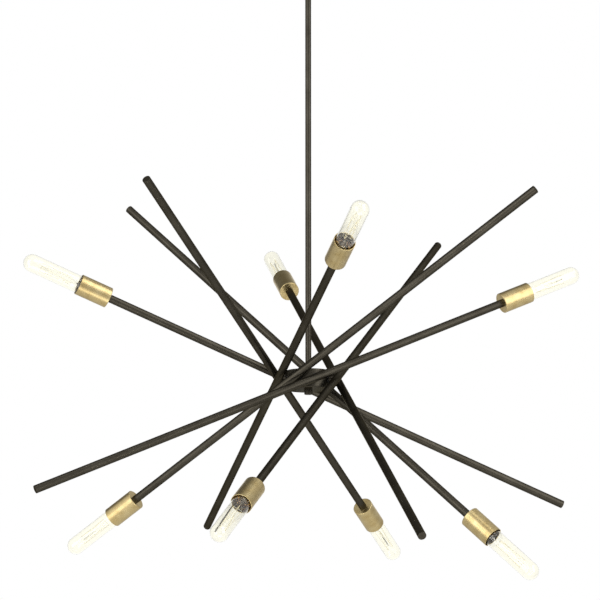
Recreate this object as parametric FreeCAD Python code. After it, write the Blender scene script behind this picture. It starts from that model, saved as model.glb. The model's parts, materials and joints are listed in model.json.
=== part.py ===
"""Sputnik chandelier: eight swivelling lamp arms round a small drum on a long stem.

Row frame, millimetres, +Z up. The origin is the middle of the ceiling plane, on
the stem's axis, so the whole lamp hangs below Z = 0. The stem runs straight down
from the canopy to the drum. Each arm is one straight tube that passes the drum at
a tangent and turns about a short hollow stud that stands out of the drum's wall.
Neighbouring arms carry their lamps at opposite ends, one up and one down.
"""
import FreeCAD, Part
import math
import os

from FreeCAD import Placement, Rotation, Vector

# ---------------------------------------------------------------- arms
ARM_TILTS = (23.0, 35.0, 34.3, 41.0, 21.6, 31.1, 23.8, 32.2)  # degrees, arm by arm
PIVOT_DRIFTS = (0.9, 1.0, -0.9, -0.6, 0.6, -0.2, -1.0, 0.1)   # degrees off even spacing
FIRST_PIVOT_AZIMUTH = -72.7   # degrees, +X towards +Y
TUBE_OD = 12.7
TUBE_WALL = 1.2
BARE_REACH = 487.5            # pivot to the closed end
LAMP_REACH = 337.0            # pivot to the back of the lamp cup
PLUG_HEAD = 1.6               # part of the end plug that shows
PLUG_SPIGOT = 9.0             # part of it inside the tube
PLUG_CHAMFER = 0.5

# ---------------------------------------------------------------- pivots
PIVOT_STANDOFF = 6.3          # drum wall to the nearest side of the tube
STUD_OD = 9.0
STUD_BORE = 6.0               # wireway
STUD_TAIL = 4.5               # thread left inside the nut
COLLAR_OD = 12.0
SPIGOT_OD = 8.0               # end of the stud, let into the tube's side
SPIGOT_PAST_WALL = 0.3
NUT_FLATS = 13.0
NUT_THICK = 3.0
BUSH_WALL = 1.0
BUSH_FLANGE_OD = 14.0
BUSH_FLANGE = 1.2
RUNNING_CLEARANCE = 0.06      # a turning shaft in its hole, on the radius
FACE_GAP = 0.05               # between faces that rub

# ---------------------------------------------------------------- drum
HUB_OD = 74.0
HUB_HEIGHT = 29.5
HUB_WALL = 1.6
HUB_TOP = 2.0
HUB_EDGE_ROUND = 1.2
COVER_THICK = 2.6
COVER_LIP = 1.6
COVER_EDGE_ROUND = 1.6
KNOB_OD = 13.2
KNOB_HEIGHT = 7.6
KNOB_FLUTES = 8
KNOB_FLUTE_R = 1.7
KNOB_FLUTE_DEPTH = 0.9
KNOB_EDGE = 0.9
KNOB_SEAT_EDGE = 0.3

# ---------------------------------------------------------------- stem
STEM_OD = 9.5
STEM_WALL = 0.75
STEM_SECTION = 304.8          # one of the two equal lengths of tube
STEM_EDGE = 0.25
NIPPLE_BORE = 5.2
NIPPLE_IN_STEM = 22.0
NIPPLE_IN_KNOB = 5.6
THREAD_CLEARANCE = 0.05       # plain stand-in for an engaged thread, on the radius

# ---------------------------------------------------------------- canopy and swivel
CANOPY_OD = 127.0
CANOPY_DEPTH = 25.0
CANOPY_WALL = 1.0
CANOPY_ROUND = 5.0
BALL_OD = 22.0
BALL_TOP = 8.0                # flat above the ball's centre
BALL_NECK = 30.0              # ball's centre to the top of the stem
BALL_THREAD = 14.0
BALL_BORE = 5.2
SEAT_OD = 28.0
SEAT_BORE = 16.8
SEAT_TOP = 2.0                # below the ball's centre
SEAT_BOTTOM = 8.2             # below the ball's centre
SEAT_LEDGE = 0.5              # canopy floor to the top of the seat
SEAT_EDGE = 0.5
CANOPY_MOUTH = 17.6           # hole that the stem hangs through
CANOPY_HOLLOW_ROUND = 1.5
BAR_LENGTH = 114.0
BAR_WIDTH = 24.0
BAR_THICK = 2.0
BAR_WIRE_HOLE = 22.0
BOX_SLOT_SPACING = 79.4       # centre to centre
BOX_SLOT_LENGTH = 14.3        # end to end
BOX_SLOT_WIDTH = 4.8
SCREW_SPACING = 102.0
SCREW_OD = 4.0
SCREW_HEAD_OD = 8.4
SCREW_HEAD = 2.6
SCREW_HEAD_ROUND = 2.1
SCREW_SLOT_WIDTH = 1.0
SCREW_SLOT_DEPTH = 0.9
SCREW_END = 0.3               # screw's tip below the ceiling
HOLE_CLEARANCE = 0.25         # a screw through a drilled hole, on the radius

# ---------------------------------------------------------------- lamp ends
CUP_OD = 33.0
CUP_LENGTH = 52.0
CUP_WALL = 1.0
CUP_BACK = 1.4
CUP_BACK_ROUND = 1.1
CUP_LIP_ROUND = 0.3
SOCKET_LENGTH = 33.0
SOCKET_BACK = 4.4
SOCKET_AIR = 0.5              # socket to cup wall
SOCKET_EDGE = 0.35
SOCKET_STUB = 12.0            # threaded stub inside the tube
SOCKET_STUB_BORE = 6.4
SOCKET_SHELL = 0.35           # screw shell, sheet thickness
SOCKET_SHELL_END = 1.5        # shell's end inside the insulator's mouth
CONTACT_OD = 6.6
CONTACT_HEIGHT = 1.5
CONTACT_BORE = 2.0
BASE_OD = 26.0                # medium screw base, over the thread
BASE_FIT = 0.25               # base to screw shell, on the radius
BASE_PITCH = 3.6
BASE_THREADS = 5
BASE_THREAD_DEPTH = 0.75
BASE_RING_ROUND = 0.9
BASE_CONTACT_OD = 9.4
BASE_CONTACT = 1.4
BASE_CONE = 4.2
BASE_COLLAR = 2.6
BASE_SHEET = 0.6
BULB_OD = 28.0
BULB_LENGTH = 139.0
BULB_GLASS = 0.8
BULB_DOME_FULLNESS = 0.55     # 0.55 is round, 1 is square
BULB_NECK_SEAT = 7.0          # glass inside the base
BULB_SHOULDER = 11.0
CEMENT_GAP = 0.05

# ---------------------------------------------------------------- drawing
MOST_OF_EDGE = 0.49           # share of an edge that the round at one end may take
CUT_PAST = 1.0                # how far a cutter runs beyond what it cuts
SHORTEST_EDGE = 1e-6

# ---------------------------------------------------------------- worked out from these
TUBE_R = TUBE_OD / 2
TUBE_BORE_R = TUBE_R - TUBE_WALL
HUB_R = HUB_OD / 2
PIVOT_RADIUS = HUB_R + PIVOT_STANDOFF + TUBE_R
STEM_R = STEM_OD / 2
STEM_BORE_R = STEM_R - STEM_WALL
NIPPLE_R = STEM_BORE_R - THREAD_CLEARANCE
NIPPLE_LENGTH = NIPPLE_IN_STEM + HUB_HEIGHT + NIPPLE_IN_KNOB
BALL_Z = -(CANOPY_DEPTH - CANOPY_WALL) + SEAT_TOP - SEAT_LEDGE
STEM_TOP_Z = BALL_Z - BALL_NECK
STEM_JOINT_Z = STEM_TOP_Z - STEM_SECTION
HUB_TOP_Z = STEM_JOINT_Z - STEM_SECTION
HUB_MID_Z = HUB_TOP_Z - HUB_HEIGHT / 2
HUB_BOTTOM_Z = HUB_TOP_Z - HUB_HEIGHT
CUP_FLOOR = LAMP_REACH + CUP_BACK
SOCKET_FLOOR = CUP_FLOOR + SOCKET_BACK
SOCKET_R = CUP_OD / 2 - CUP_WALL - SOCKET_AIR
BULB_SEAT = SOCKET_FLOOR + CONTACT_HEIGHT
BASE_THREAD_START = BULB_SEAT + BASE_CONTACT + BASE_CONE
BASE_END = BASE_THREAD_START + BASE_PITCH * BASE_THREADS + BASE_COLLAR
BASE_ROOT_R = BASE_OD / 2 - BASE_THREAD_DEPTH
BASE_BORE_R = BASE_ROOT_R - BASE_SHEET
SHELL_BORE_R = BASE_OD / 2 + BASE_FIT
STUD_R = STUD_OD / 2
BUSH_BORE_R = STUD_R + RUNNING_CLEARANCE
BUSH_R = BUSH_BORE_R + BUSH_WALL
NUT_FACE = math.sqrt((HUB_R - HUB_WALL) ** 2 - (NUT_FLATS / math.sqrt(3)) ** 2) - FACE_GAP

X = Vector(1, 0, 0)
Z = Vector(0, 0, 1)
ORIGIN = Vector(0, 0, 0)


# ---------------------------------------------------------------- helpers
def outline(corners):
    """Closed wire in the XZ plane through (radius, height) or (radius, height, round) corners."""
    points = [Vector(corner[0], 0, corner[1]) for corner in corners]
    rounds = [corner[2] if len(corner) > 2 else 0.0 for corner in corners]
    count = len(points)
    leave, arrive, arcs = [], [], []
    for index, point in enumerate(points):
        back = points[index - 1] - point
        ahead = points[(index + 1) % count] - point
        if rounds[index] <= 0:
            arrive.append(point)
            leave.append(point)
            arcs.append(None)
            continue
        half = back.getAngle(ahead) / 2
        room = MOST_OF_EDGE * min(back.Length, ahead.Length)
        tangent = min(rounds[index] / math.tan(half), room)
        radius = tangent * math.tan(half)
        back.normalize()
        ahead.normalize()
        middle = (back + ahead).normalize()
        near = point + middle * (radius / math.sin(half) - radius)
        arrive.append(point + back * tangent)
        leave.append(point + ahead * tangent)
        arcs.append(Part.Arc(arrive[-1], near, leave[-1]).toShape())
    edges = []
    for index in range(count):
        if arcs[index]:
            edges.append(arcs[index])
        start, end = leave[index], arrive[(index + 1) % count]
        if (end - start).Length > SHORTEST_EDGE:
            edges.append(Part.LineSegment(start, end).toShape())
    return Part.Wire(Part.sortEdges(edges)[0])


def turned(corners):
    """Solid of revolution about Z."""
    return Part.Face(outline(corners)).revolve(ORIGIN, Z, 360)


def sleeve(outer, inner, low, high, edge=0.0):
    """Round tube along Z, with its two outer edges eased."""
    return turned([(inner, low), (outer, low, edge), (outer, high, edge), (inner, high)])


def rod_x(radius, start, end):
    """Round bar along X."""
    return Part.makeCylinder(radius, end - start, Vector(start, 0, 0), X)


def in_arm_frame(shape, arm):
    """Carry a shape from the arm's own frame to its place on the drum.

    In the arm's frame the tube lies along Z with the lamp at +Z, the drum is
    towards -X, and the origin is where the tube's axis meets the pivot's axis.
    """
    lamp_up = arm % 2 == 0
    turn = ARM_TILTS[arm] - 90 if lamp_up else ARM_TILTS[arm] + 90
    placed = shape.copy()
    placed.Placement = pivot_frame(arm).multiply(Placement(ORIGIN, Rotation(X, turn)))
    return placed


def pivot_frame(arm):
    """Frame on the pivot's axis: X points out of the drum, Z is up."""
    even = FIRST_PIVOT_AZIMUTH + 360 / len(ARM_TILTS) * arm
    azimuth = Rotation(Z, even + PIVOT_DRIFTS[arm])
    centre = azimuth.multVec(Vector(PIVOT_RADIUS, 0, 0)) + Vector(0, 0, HUB_MID_Z)
    return Placement(centre, azimuth)


def save(name, shape):
    """Write one node."""
    if not shape.isValid():
        raise ValueError(name + " is not a valid shape")
    shape.exportStep(os.path.join("parts", name + ".step"))


# ---------------------------------------------------------------- arm pieces, in the arm's frame
def arm_tube():
    """Straight tube with a hole in its side for the stud, and the plug in its bare end."""
    tube = sleeve(TUBE_R, TUBE_BORE_R, -BARE_REACH + PLUG_HEAD, LAMP_REACH)
    side_hole = rod_x(SPIGOT_OD / 2 + THREAD_CLEARANCE, -TUBE_R - CUT_PAST, -TUBE_BORE_R / 2)
    spigot_r = TUBE_BORE_R - THREAD_CLEARANCE
    plug = turned([
        (0, -BARE_REACH),
        (TUBE_R, -BARE_REACH, PLUG_CHAMFER),
        (TUBE_R, -BARE_REACH + PLUG_HEAD),
        (spigot_r, -BARE_REACH + PLUG_HEAD),
        (spigot_r, -BARE_REACH + PLUG_HEAD + PLUG_SPIGOT, PLUG_CHAMFER),
        (0, -BARE_REACH + PLUG_HEAD + PLUG_SPIGOT),
    ])
    return Part.makeCompound([tube.cut(side_hole), plug])


def arm_pivot():
    """Hollow stud with a collar shaped to the tube, and its lock nut inside the drum."""
    collar_start = HUB_R + BUSH_FLANGE + FACE_GAP - PIVOT_RADIUS
    nut_outer = NUT_FACE - PIVOT_RADIUS
    nut_inner = nut_outer - NUT_THICK
    shank = rod_x(STUD_R, nut_inner - STUD_TAIL, collar_start)
    collar = rod_x(COLLAR_OD / 2, collar_start, 0)
    against_tube = Part.makeCylinder(TUBE_R, COLLAR_OD * 2, Vector(0, 0, -COLLAR_OD), Z)
    spigot = rod_x(SPIGOT_OD / 2, collar_start, SPIGOT_PAST_WALL - TUBE_BORE_R)
    stud = collar.cut(against_tube).fuse([shank, spigot])
    stud = stud.cut(rod_x(STUD_BORE / 2, nut_inner - STUD_TAIL - CUT_PAST, 0)).removeSplitter()
    corner = NUT_FLATS / math.sqrt(3)
    hexagon = [Vector(nut_inner, corner * math.cos(math.radians(60 * i)),
                      corner * math.sin(math.radians(60 * i))) for i in range(7)]
    nut = Part.Face(Part.makePolygon(hexagon)).extrude(Vector(NUT_THICK, 0, 0))
    nut = nut.cut(rod_x(STUD_R + THREAD_CLEARANCE, nut_inner - CUT_PAST, nut_outer + CUT_PAST))
    return Part.makeCompound([stud.Solids[0], nut])


def lamp_cup():
    """Spun brass cup, open towards the bulb, clamped by its back."""
    outer, mouth = CUP_OD / 2, LAMP_REACH + CUP_LENGTH
    hole = TUBE_BORE_R + THREAD_CLEARANCE
    return turned([
        (hole, LAMP_REACH),
        (outer, LAMP_REACH, CUP_BACK_ROUND),
        (outer, mouth, CUP_LIP_ROUND),
        (outer - CUP_WALL, mouth, CUP_LIP_ROUND),
        (outer - CUP_WALL, CUP_FLOOR, CUP_BACK_ROUND / 2),
        (hole, CUP_FLOOR),
    ])


def lamp_socket():
    """Insulating body on a threaded stub, with its screw shell and centre contact."""
    stub_r = TUBE_BORE_R - THREAD_CLEARANCE
    bore_r = SOCKET_STUB_BORE / 2
    end = CUP_FLOOR + SOCKET_LENGTH
    shell_r = SHELL_BORE_R + SOCKET_SHELL
    body = turned([
        (bore_r, LAMP_REACH - SOCKET_STUB),
        (stub_r, LAMP_REACH - SOCKET_STUB, SOCKET_EDGE),
        (stub_r, CUP_FLOOR),
        (SOCKET_R, CUP_FLOOR, CUP_BACK_ROUND),
        (SOCKET_R, end, SOCKET_EDGE),
        (shell_r, end, SOCKET_EDGE),
        (shell_r, SOCKET_FLOOR),
        (bore_r, SOCKET_FLOOR),
    ])
    shell = sleeve(shell_r, SHELL_BORE_R, SOCKET_FLOOR, end - SOCKET_SHELL_END)
    contact = turned([
        (CONTACT_BORE / 2, SOCKET_FLOOR - SOCKET_EDGE),
        (bore_r, SOCKET_FLOOR - SOCKET_EDGE),
        (bore_r, SOCKET_FLOOR),
        (CONTACT_OD / 2, SOCKET_FLOOR),
        (CONTACT_OD / 2, BULB_SEAT, SOCKET_EDGE),
        (CONTACT_BORE / 2, BULB_SEAT),
    ])
    return Part.makeCompound([body, shell, contact])


def bulb_base():
    """Medium screw base: centre contact, insulating cone and hollow ringed shell."""
    corners = [
        (0, BULB_SEAT),
        (BASE_CONTACT_OD / 2, BULB_SEAT, BASE_SHEET),
        (BASE_CONTACT_OD / 2, BULB_SEAT + BASE_CONTACT),
        (BASE_ROOT_R, BASE_THREAD_START, BASE_SHEET),
    ]
    for ring in range(BASE_THREADS):
        low = BASE_THREAD_START + BASE_PITCH * ring
        corners.append((BASE_OD / 2, low + BASE_PITCH / 2, BASE_RING_ROUND))
        corners.append((BASE_ROOT_R, low + BASE_PITCH, BASE_RING_ROUND))
    corners += [
        (BASE_ROOT_R, BASE_END),
        (BASE_BORE_R, BASE_END),
        (BASE_BORE_R, BASE_THREAD_START),
        (0, BASE_THREAD_START),
    ]
    return turned(corners)


def bulb_glass():
    """Clear tubular envelope, hollow and closed, cemented into the base by its neck."""
    neck, full, skin = BASE_BORE_R - CEMENT_GAP, BULB_OD / 2, BULB_GLASS
    low, tip = BASE_END - BULB_NECK_SEAT, BULB_SEAT + BULB_LENGTH
    outer = glass_profile(neck, full, low, tip)
    inner = glass_profile(neck - skin, full - skin, low + skin, tip - skin)
    return outer.cut(inner)


def glass_profile(neck, full, low, tip):
    """Solid with a straight neck, a shoulder, a straight tube and a round dome."""
    shoulder, dome_start = BASE_END + BULB_SHOULDER, tip - full
    third = BULB_SHOULDER / 3
    shoulder_curve, dome_curve = Part.BezierCurve(), Part.BezierCurve()
    shoulder_curve.setPoles([
        Vector(neck, 0, BASE_END),
        Vector(neck, 0, BASE_END + third),
        Vector(full, 0, shoulder - third),
        Vector(full, 0, shoulder),
    ])
    dome_curve.setPoles([
        Vector(full, 0, dome_start),
        Vector(full, 0, dome_start + full * BULB_DOME_FULLNESS),
        Vector(full * BULB_DOME_FULLNESS, 0, tip),
        Vector(0, 0, tip),
    ])
    path = [
        Part.LineSegment(Vector(0, 0, low), Vector(neck, 0, low)),
        Part.LineSegment(Vector(neck, 0, low), Vector(neck, 0, BASE_END)),
        shoulder_curve,
        Part.LineSegment(Vector(full, 0, shoulder), Vector(full, 0, dome_start)),
        dome_curve,
        Part.LineSegment(Vector(0, 0, tip), Vector(0, 0, low)),
    ]
    return Part.Face(Part.Wire([curve.toShape() for curve in path])).revolve(ORIGIN, Z, 360)


# ---------------------------------------------------------------- drum
def hub_body():
    """Drum with a closed top, open underneath, and one hole per bush."""
    skirt_end = HUB_BOTTOM_Z + COVER_THICK
    rod_hole = NIPPLE_R + HOLE_CLEARANCE
    drum = turned([
        (rod_hole, HUB_TOP_Z),
        (HUB_R, HUB_TOP_Z, HUB_EDGE_ROUND),
        (HUB_R, skirt_end),
        (HUB_R - HUB_WALL, skirt_end),
        (HUB_R - HUB_WALL, HUB_TOP_Z - HUB_TOP, HUB_EDGE_ROUND / 2),
        (rod_hole, HUB_TOP_Z - HUB_TOP),
    ])
    for arm in range(len(ARM_TILTS)):
        hole = rod_x(BUSH_R, NUT_FACE - PIVOT_RADIUS, HUB_R + CUT_PAST - PIVOT_RADIUS)
        hole.Placement = pivot_frame(arm)
        drum = drum.cut(hole)
    return drum


def hub_bushings():
    """Flanged bushes in the drum's wall, one for each arm's stud."""
    inner_end = NUT_FACE + FACE_GAP - PIVOT_RADIUS
    flange_start = HUB_R - PIVOT_RADIUS
    barrel = rod_x(BUSH_R, inner_end, flange_start)
    flange = rod_x(BUSH_FLANGE_OD / 2, flange_start, flange_start + BUSH_FLANGE)
    bush = barrel.fuse(flange).cut(rod_x(BUSH_BORE_R, inner_end - CUT_PAST, 0))
    bush = bush.removeSplitter().Solids[0]
    placed = []
    for arm in range(len(ARM_TILTS)):
        copy = bush.copy()
        copy.Placement = pivot_frame(arm)
        placed.append(copy)
    return Part.makeCompound(placed)


def hub_cover():
    """Lid under the drum, with a lip that centres it in the skirt."""
    skirt_end = HUB_BOTTOM_Z + COVER_THICK
    lip = HUB_R - HUB_WALL - FACE_GAP
    rod_hole = NIPPLE_R + HOLE_CLEARANCE
    return turned([
        (rod_hole, HUB_BOTTOM_Z),
        (HUB_R, HUB_BOTTOM_Z, COVER_EDGE_ROUND),
        (HUB_R, skirt_end),
        (lip, skirt_end),
        (lip, skirt_end + COVER_LIP),
        (lip - HUB_WALL, skirt_end + COVER_LIP),
        (lip - HUB_WALL, skirt_end),
        (rod_hole, skirt_end),
    ])


def finial_knob():
    """Fluted knob that clamps the cover and closes the nipple."""
    low = HUB_BOTTOM_Z - KNOB_HEIGHT
    radius = KNOB_OD / 2
    bore = NIPPLE_R + THREAD_CLEARANCE
    knob = turned([
        (0, low),
        (radius, low, KNOB_EDGE),
        (radius, HUB_BOTTOM_Z, KNOB_SEAT_EDGE),
        (bore, HUB_BOTTOM_Z),
        (bore, HUB_BOTTOM_Z - NIPPLE_IN_KNOB - THREAD_CLEARANCE),
        (0, HUB_BOTTOM_Z - NIPPLE_IN_KNOB - THREAD_CLEARANCE),
    ])
    for flute in range(KNOB_FLUTES):
        angle = math.radians(-90 + 360 / KNOB_FLUTES * flute)
        centre = radius + KNOB_FLUTE_R - KNOB_FLUTE_DEPTH
        start = Vector(centre * math.cos(angle), centre * math.sin(angle), low - CUT_PAST)
        knob = knob.cut(Part.makeCylinder(KNOB_FLUTE_R, KNOB_HEIGHT + 2 * CUT_PAST, start, Z))
    return knob


# ---------------------------------------------------------------- stem
def stem_section(top):
    """One plain length of stem."""
    return sleeve(STEM_R, STEM_BORE_R, top - STEM_SECTION, top, STEM_EDGE)


def stem_nipples():
    """Two equal hollow threaded rods: one joins the sections, one holds the drum."""
    low_end = HUB_BOTTOM_Z - NIPPLE_IN_KNOB
    joint_low = STEM_JOINT_Z - NIPPLE_LENGTH / 2
    bore = NIPPLE_BORE / 2
    return Part.makeCompound([
        sleeve(NIPPLE_R, bore, joint_low, joint_low + NIPPLE_LENGTH, STEM_EDGE),
        sleeve(NIPPLE_R, bore, low_end, low_end + NIPPLE_LENGTH, STEM_EDGE),
    ])


def swivel_ball():
    """Ball with a threaded neck: the stem hangs from it and stays plumb on a slope."""
    radius = BALL_OD / 2
    top = BALL_Z + BALL_TOP
    ball = Part.makeSphere(radius, Vector(0, 0, BALL_Z))
    above = Part.makeCylinder(radius + CUT_PAST, radius, Vector(0, 0, top), Z)
    neck = turned([
        (0, BALL_Z),
        (STEM_R, BALL_Z),
        (STEM_R, STEM_TOP_Z),
        (NIPPLE_R, STEM_TOP_Z),
        (NIPPLE_R, STEM_TOP_Z - BALL_THREAD, STEM_EDGE),
        (0, STEM_TOP_Z - BALL_THREAD),
    ])
    wireway = Part.makeCylinder(BALL_BORE / 2, BALL_TOP + BALL_NECK + BALL_THREAD + 2 * CUT_PAST,
                                Vector(0, 0, STEM_TOP_Z - BALL_THREAD - CUT_PAST), Z)
    return ball.cut(above).fuse(neck).removeSplitter().cut(wireway)


# ---------------------------------------------------------------- canopy
def swivel_seat():
    """Ring in the canopy's hollow that the ball rests in and that turns with it."""
    low, high = BALL_Z - SEAT_BOTTOM, BALL_Z - SEAT_TOP
    ring = sleeve(SEAT_OD / 2, SEAT_BORE / 2, low, high, SEAT_EDGE)
    return ring.cut(Part.makeSphere(BALL_OD / 2 + RUNNING_CLEARANCE, Vector(0, 0, BALL_Z)))


def canopy():
    """Spun ceiling cover with a small hollow in its middle for the swivel's seat."""
    outer = CANOPY_OD / 2
    floor_out, floor_in = -CANOPY_DEPTH, -CANOPY_DEPTH + CANOPY_WALL
    hollow_in = SEAT_OD / 2 + RUNNING_CLEARANCE
    hollow_floor = BALL_Z - SEAT_BOTTOM
    mouth = CANOPY_MOUTH / 2
    cover = turned([
        (outer - CANOPY_WALL, 0),
        (outer, 0),
        (outer, floor_out, CANOPY_ROUND),
        (hollow_in + CANOPY_WALL, floor_out, CANOPY_WALL),
        (hollow_in + CANOPY_WALL, hollow_floor - CANOPY_WALL, CANOPY_HOLLOW_ROUND),
        (mouth, hollow_floor - CANOPY_WALL),
        (mouth, hollow_floor),
        (hollow_in, hollow_floor),
        (hollow_in, floor_in),
        (outer - CANOPY_WALL, floor_in, CANOPY_ROUND - CANOPY_WALL),
    ])
    for side in (-1, 1):
        start = Vector(side * SCREW_SPACING / 2, 0, floor_out - CUT_PAST)
        depth = CANOPY_WALL + 2 * CUT_PAST
        cover = cover.cut(Part.makeCylinder(SCREW_OD / 2 + HOLE_CLEARANCE, depth, start, Z))
    return cover


def canopy_screws():
    """Two round-head screws that hold the canopy up against the ceiling."""
    head_r, head_low = SCREW_HEAD_OD / 2, -CANOPY_DEPTH - SCREW_HEAD
    screw = turned([
        (0, head_low),
        (head_r, head_low, SCREW_HEAD_ROUND),
        (head_r, -CANOPY_DEPTH),
        (SCREW_OD / 2, -CANOPY_DEPTH),
        (SCREW_OD / 2, -SCREW_END, STEM_EDGE),
        (0, -SCREW_END),
    ])
    slot = Part.makeBox(SCREW_HEAD_OD + 2 * CUT_PAST, SCREW_SLOT_WIDTH, SCREW_SLOT_DEPTH + CUT_PAST,
                        Vector(-head_r - CUT_PAST, -SCREW_SLOT_WIDTH / 2, head_low - CUT_PAST))
    screw = screw.cut(slot)
    pair = []
    for side in (-1, 1):
        copy = screw.copy()
        copy.translate(Vector(side * SCREW_SPACING / 2, 0, 0))
        pair.append(copy)
    return Part.makeCompound(pair)


def mounting_bar():
    """Flat strap on the ceiling box: two slots, a wire hole and two tapped holes."""
    end_r = BAR_WIDTH / 2
    straight = BAR_LENGTH / 2 - end_r
    low = -BAR_THICK
    strap = Part.makeBox(2 * straight, BAR_WIDTH, BAR_THICK, Vector(-straight, -end_r, low))
    strap = strap.fuse([
        Part.makeCylinder(end_r, BAR_THICK, Vector(side * straight, 0, low), Z) for side in (-1, 1)
    ]).removeSplitter()
    under, depth = low - CUT_PAST, BAR_THICK + 2 * CUT_PAST
    holes = [Part.makeCylinder(BAR_WIRE_HOLE / 2, depth, Vector(0, 0, under), Z)]
    slot_r = BOX_SLOT_WIDTH / 2
    half = BOX_SLOT_LENGTH / 2 - slot_r
    for side in (-1, 1):
        middle = side * BOX_SLOT_SPACING / 2
        tapped = Vector(side * SCREW_SPACING / 2, 0, under)
        holes += [
            Part.makeBox(2 * half, BOX_SLOT_WIDTH, depth, Vector(middle - half, -slot_r, under)),
            Part.makeCylinder(slot_r, depth, Vector(middle - half, 0, under), Z),
            Part.makeCylinder(slot_r, depth, Vector(middle + half, 0, under), Z),
            Part.makeCylinder(SCREW_OD / 2 + THREAD_CLEARANCE, depth, tapped, Z),
        ]
    return strap.cut(holes[0].fuse(holes[1:]))


# ---------------------------------------------------------------- build
def main():
    os.makedirs("parts", exist_ok=True)
    single = {
        "mounting_bar": mounting_bar(),
        "canopy": canopy(),
        "canopy_screws": canopy_screws(),
        "swivel_seat": swivel_seat(),
        "swivel_ball": swivel_ball(),
        "stem_upper": stem_section(STEM_TOP_Z),
        "stem_lower": stem_section(STEM_JOINT_Z),
        "stem_nipples": stem_nipples(),
        "hub_body": hub_body(),
        "hub_bushings": hub_bushings(),
        "hub_cover": hub_cover(),
        "finial_knob": finial_knob(),
    }
    for name, shape in single.items():
        save(name, shape)
    per_arm = {
        "arm_tube": arm_tube(),
        "arm_pivot": arm_pivot(),
        "lamp_cup": lamp_cup(),
        "lamp_socket": lamp_socket(),
        "bulb_base": bulb_base(),
        "bulb_glass": bulb_glass(),
    }
    for arm in range(len(ARM_TILTS)):
        for name, shape in per_arm.items():
            save("%s_%d" % (name, arm + 1), in_arm_frame(shape, arm))
    print("pivot radius", PIVOT_RADIUS, "drum middle", HUB_MID_Z, "nipple", NIPPLE_LENGTH)
    print("bulb tip from pivot", BULB_SEAT + BULB_LENGTH, "cup mouth", LAMP_REACH + CUP_LENGTH)


main()
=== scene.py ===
# %% [markdown]
# # A sputnik chandelier
# Eight straight tubes pass a small drum, each on its own friction pivot, and each tube
# carries a brass cup with a clear tubular bulb. The measured solids come in as a fixed
# frame. This lesson gives them their finishes, and builds what a lathe, a thread roller
# and a glass blower would add: screw shells, sockets, glass mounts and filaments.

# %% Load the frame
import json
import math
import bmesh
import bpy
from mathutils import Matrix, Vector


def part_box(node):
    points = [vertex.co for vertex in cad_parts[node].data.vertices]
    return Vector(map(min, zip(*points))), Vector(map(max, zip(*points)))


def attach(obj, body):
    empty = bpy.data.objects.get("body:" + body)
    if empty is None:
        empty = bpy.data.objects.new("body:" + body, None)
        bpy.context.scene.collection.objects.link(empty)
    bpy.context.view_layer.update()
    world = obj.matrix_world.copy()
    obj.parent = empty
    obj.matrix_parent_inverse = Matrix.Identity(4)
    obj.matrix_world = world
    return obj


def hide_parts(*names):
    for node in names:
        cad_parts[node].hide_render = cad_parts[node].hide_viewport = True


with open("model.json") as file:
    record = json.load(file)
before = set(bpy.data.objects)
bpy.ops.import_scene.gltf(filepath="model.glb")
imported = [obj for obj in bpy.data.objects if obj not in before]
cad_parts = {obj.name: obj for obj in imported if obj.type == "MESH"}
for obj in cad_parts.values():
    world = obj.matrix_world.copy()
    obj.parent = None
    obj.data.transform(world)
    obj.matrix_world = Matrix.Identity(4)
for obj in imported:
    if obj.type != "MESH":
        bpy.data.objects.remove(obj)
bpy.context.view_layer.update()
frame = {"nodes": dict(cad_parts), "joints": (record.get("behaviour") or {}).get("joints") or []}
MM = 0.001
FULL_TURN = 2 * math.pi

# %% [markdown]
# ## The camera
# The picture was taken from about four metres away and 0.6 m below the drum, looking up
# by nine degrees, so the eight arms spread like a hand and the drum's lid shows from
# below. Fitting the sixteen tube ends gave the lens and the place. Both are kept as
# distances from the middle of the drum.

# %% Camera
FRAME_PIXELS = 600
FOCAL_PIXELS = 2716.8
SENSOR_MM = 36.0
CAMERA_LEFT = 13.2 * MM
CAMERA_BACK = 4254.0 * MM
CAMERA_BELOW = 578.4 * MM
CAMERA_PITCH = math.radians(9.44)

drum_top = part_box("hub_body")[1].z
lid_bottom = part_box("hub_cover")[0].z
drum_middle = (lid_bottom + drum_top) / 2
camera = bpy.data.objects.new("camera", bpy.data.cameras.new("camera"))
camera.data.sensor_width = SENSOR_MM
camera.data.lens = FOCAL_PIXELS / FRAME_PIXELS * SENSOR_MM
camera.location = (-CAMERA_LEFT, -CAMERA_BACK, drum_middle - CAMERA_BELOW)
camera.rotation_euler = (math.pi / 2 + CAMERA_PITCH, 0, 0)
bpy.context.scene.collection.objects.link(camera)
bpy.context.scene.camera = camera
print("camera: lens %.1f mm, drum middle %.1f mm below the ceiling"
      % (camera.data.lens, -drum_middle / MM))

# %% [markdown]
# ## One frame for each arm
# All eight arms are the same assembly, turned to another place. So each lamp end is built
# once in the arm's own frame, where the tube lies along Z with the lamp at +Z and X points
# out of the drum, and is then carried to its arm. The joints say where: the pivot's axis
# is X, and the line on which the bulb leaves its socket is Z.

# %% Arm frames
joints = {joint["name"]: joint for joint in frame["joints"]}
ARMS = range(1, 1 + sum(name.endswith("_tilt") and name.startswith("arm_") for name in joints))


def arm_place(arm):
    """Matrix from the arm's own frame to the row frame."""
    pivot = joints["arm_%d_tilt" % arm]
    outward, along = Vector(pivot["axis"]), Vector(joints["bulb_%d_unscrew" % arm]["axis"])
    across = along.cross(outward)
    turn = Matrix((outward, across, along)).transposed()
    return Matrix.Translation(pivot["pos_m"]) @ turn.to_4x4()


def reach(node, place):
    """Lowest and highest Z and largest radius of a node, in millimetres of the arm's frame."""
    back = place.inverted()
    points = [back @ vertex.co for vertex in frame["nodes"][node].data.vertices]
    heights = [point.z / MM for point in points]
    return min(heights), max(heights), max(point.xy.length for point in points) / MM


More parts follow.
